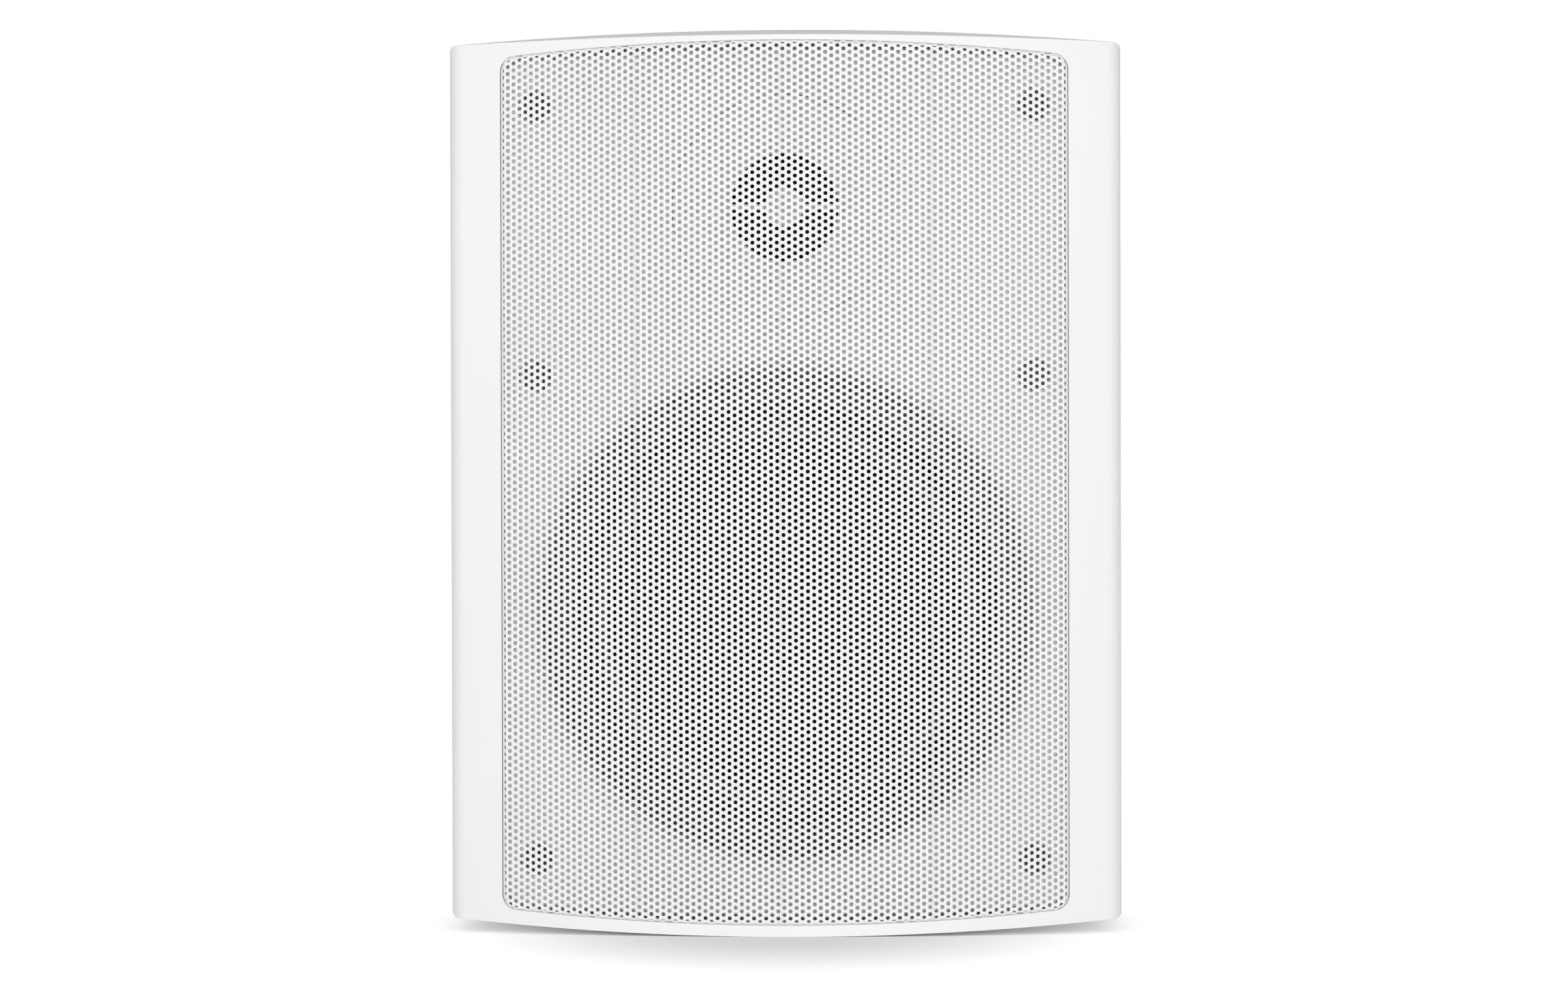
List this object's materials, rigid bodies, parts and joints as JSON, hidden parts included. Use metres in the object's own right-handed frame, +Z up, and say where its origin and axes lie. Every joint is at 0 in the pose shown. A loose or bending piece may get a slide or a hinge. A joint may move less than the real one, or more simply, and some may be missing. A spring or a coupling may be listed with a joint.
{
  "type": "installation speaker",
  "caption": "Compact white wall or ceiling mount speaker with bowed perforated front, woofer, tweeter, push terminals, tap knob and threaded bracket inserts",
  "frame": {"origin": "under the middle of the cabinet, level with the lowest point of its bowed bottom", "axes": "X runs across the front, Y runs from the grille back to the rear panel, Z runs up; the grille faces -Y"},
  "size_m": [0.174, 0.146, 0.233],
  "materials": {
    "white_plastic": "finely textured white moulding",
    "white_steel": "white powder coat on perforated steel sheet",
    "black_plastic": "matt black moulding",
    "knob_plastic": "matt black moulding with a smooth grip",
    "shaft_plastic": "natural nylon",
    "lever_red": "glossy red moulding",
    "lever_black": "glossy black moulding",
    "foam": "closed-cell foam",
    "surround_rubber": "smooth butyl rubber",
    "cone_paper": "coated paper pulp",
    "spider_cloth": "resin-dipped weave",
    "dome_silk": "doped silk",
    "black_steel": "black enamel on pressed steel",
    "zinc_steel": "bright zinc plate",
    "ferrite": "ground ferrite",
    "copper": "enamelled copper wire",
    "black_screws": "black oxide",
    "brass": "machined brass",
    "spring_steel": "polished spring steel",
    "laminate": "glass-fibre laminate with green solder mask",
    "film": "wrapped film",
    "cement": "fired cement body",
    "iron_sheets": "stacked electrical steel",
    "winding_tape": "taped winding"
  },
  "bodies": {
    "housing": {"cabinet": "white_plastic", "grille": "white_steel", "baffle": "white_plastic", "baffle_gasket": "foam", "baffle_screws": "black_screws", "woofer_gasket": "foam", "woofer_basket": "black_steel", "woofer_surround": "surround_rubber", "woofer_spider": "spider_cloth", "woofer_top_plate": "zinc_steel", "woofer_magnet": "ferrite", "woofer_yoke": "zinc_steel", "woofer_screws": "black_screws", "woofer_terminals": "brass", "tweeter_faceplate": "white_plastic", "tweeter_surround": "dome_silk", "tweeter_top_plate": "zinc_steel", "tweeter_magnet": "ferrite", "tweeter_yoke": "zinc_steel", "tweeter_screws": "black_screws", "terminal_panel": "black_plastic", "panel_gasket": "foam", "panel_screws": "black_screws", "terminal_block": "knob_plastic", "clamp_spring_plus": "spring_steel", "clamp_spring_minus": "spring_steel", "terminal_tags": "brass", "tap_switch": "black_plastic", "crossover_board": "laminate", "board_screws": "zinc_steel", "inductor": "copper", "capacitors": "film", "resistors": "cement", "transformer_core": "iron_sheets", "transformer_winding": "winding_tape", "transformer_strap": "zinc_steel", "transformer_screws": "zinc_steel", "bracket_inserts": "brass", "wall_inserts": "brass"},
    "woofer_moving": {"woofer_cone": "cone_paper", "woofer_dust_cap": "cone_paper", "woofer_voice_coil": "copper"},
    "tweeter_moving": {"tweeter_dome": "dome_silk", "tweeter_voice_coil": "copper"},
    "knob": {"tap_knob": "knob_plastic", "tap_shaft": "shaft_plastic"},
    "plus_lever": {"lever_plus": "lever_red"},
    "minus_lever": {"lever_minus": "lever_black"}
  },
  "joints": [
    {"name": "woofer_travel", "type": "slide", "parent": "housing", "child": "woofer_moving", "axis": [0, -1, 0], "range_m": [-0.004, 0.004], "stiffness_N_per_m": 1200, "deforming": ["woofer_surround", "woofer_spider"]},
    {"name": "tweeter_travel", "type": "slide", "parent": "housing", "child": "tweeter_moving", "axis": [0, -1, 0], "range_m": [-0.0003, 0.0003], "stiffness_N_per_m": 500, "deforming": ["tweeter_surround"]},
    {"name": "tap_turn", "type": "hinge", "parent": "housing", "child": "knob", "pos_m": [0, 0.065, 0.095], "axis": [0, 1, 0], "range_deg": [-75, 75]},
    {"name": "plus_lever_swing", "type": "hinge", "parent": "housing", "child": "plus_lever", "pos_m": [0.0115, 0.0665, 0.0665], "axis": [1, 0, 0], "range_deg": [-15, 0], "stiffness_Nm_per_rad": 0.05, "deforming": ["clamp_spring_plus"]},
    {"name": "minus_lever_swing", "type": "hinge", "parent": "housing", "child": "minus_lever", "pos_m": [-0.0115, 0.0665, 0.0665], "axis": [1, 0, 0], "range_deg": [-15, 0], "stiffness_Nm_per_rad": 0.05, "deforming": ["clamp_spring_minus"]}
  ]
}
